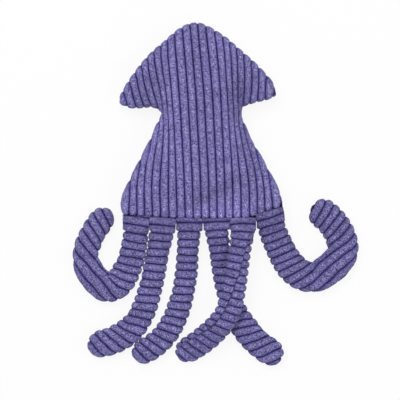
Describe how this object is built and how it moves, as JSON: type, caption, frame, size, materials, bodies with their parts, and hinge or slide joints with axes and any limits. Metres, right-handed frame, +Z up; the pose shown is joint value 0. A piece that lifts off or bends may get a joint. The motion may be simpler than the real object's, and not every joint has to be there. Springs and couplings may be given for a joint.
{
  "type": "plush squid toy",
  "caption": "Soft stuffed squid toy in purple wide-wale corduroy: a flat arrow-shaped mantle with side fins and long stuffed arms sewn along its bottom seam, each free to fold at its root",
  "frame": {"origin": "on the surface that the toy lies on, in the middle of the flat under the mantle", "axes": "+X to the toy's right in the picture, +Y from the arms to the pointed top, +Z up out of the front face"},
  "size_m": [0.2861, 0.3425, 0.0435],
  "materials": {
    "corduroy": "matte ribbed pile",
    "sewing_thread": "matte",
    "polyester_fibre": "matte"
  },
  "bodies": {
    "mantle": {"mantle_front_panel": "corduroy", "mantle_back_panel": "corduroy", "mantle_stuffing": "polyester_fibre", "mantle_seam_thread": "sewing_thread", "closing_thread": "sewing_thread"},
    "arm_1": {"arm_1_front_panel": "corduroy", "arm_1_back_panel": "corduroy", "arm_1_stuffing": "polyester_fibre", "arm_1_seam_thread": "sewing_thread"},
    "arm_2": {"arm_2_front_panel": "corduroy", "arm_2_back_panel": "corduroy", "arm_2_stuffing": "polyester_fibre", "arm_2_seam_thread": "sewing_thread"},
    "arm_3": {"arm_3_front_panel": "corduroy", "arm_3_back_panel": "corduroy", "arm_3_stuffing": "polyester_fibre", "arm_3_seam_thread": "sewing_thread"},
    "arm_4": {"arm_4_front_panel": "corduroy", "arm_4_back_panel": "corduroy", "arm_4_stuffing": "polyester_fibre", "arm_4_seam_thread": "sewing_thread"},
    "arm_5": {"arm_5_front_panel": "corduroy", "arm_5_back_panel": "corduroy", "arm_5_stuffing": "polyester_fibre", "arm_5_seam_thread": "sewing_thread"},
    "arm_6": {"arm_6_front_panel": "corduroy", "arm_6_back_panel": "corduroy", "arm_6_stuffing": "polyester_fibre", "arm_6_seam_thread": "sewing_thread"}
  },
  "joints": [
    {"name": "arm_1_fold", "type": "hinge", "parent": "mantle", "child": "arm_1", "pos_m": [-0.0665, -0.0787, 0.0215], "axis": [-0.9994, 0.0346, 0], "range_deg": [-75, 75]},
    {"name": "arm_2_fold", "type": "hinge", "parent": "mantle", "child": "arm_2", "pos_m": [-0.0399, -0.07951, 0.0215], "axis": [-0.9997, 0.0258, 0], "range_deg": [-75, 75]},
    {"name": "arm_3_fold", "type": "hinge", "parent": "mantle", "child": "arm_3", "pos_m": [-0.0133, -0.0802, 0.0215], "axis": [-0.9996, 0.0265, 0], "range_deg": [-75, 75]},
    {"name": "arm_4_fold", "type": "hinge", "parent": "mantle", "child": "arm_4", "pos_m": [0.0133, -0.08044, 0.0215], "axis": [-1, -0.0088, 0], "range_deg": [-75, 0]},
    {"name": "arm_5_fold", "type": "hinge", "parent": "mantle", "child": "arm_5", "pos_m": [0.0399, -0.07997, 0.0215], "axis": [-0.9996, -0.0265, 0], "range_deg": [0, 75]},
    {"name": "arm_6_fold", "type": "hinge", "parent": "mantle", "child": "arm_6", "pos_m": [0.0665, -0.07528, 0.0215], "axis": [-0.9508, -0.3097, 0], "range_deg": [-75, 75]}
  ]
}
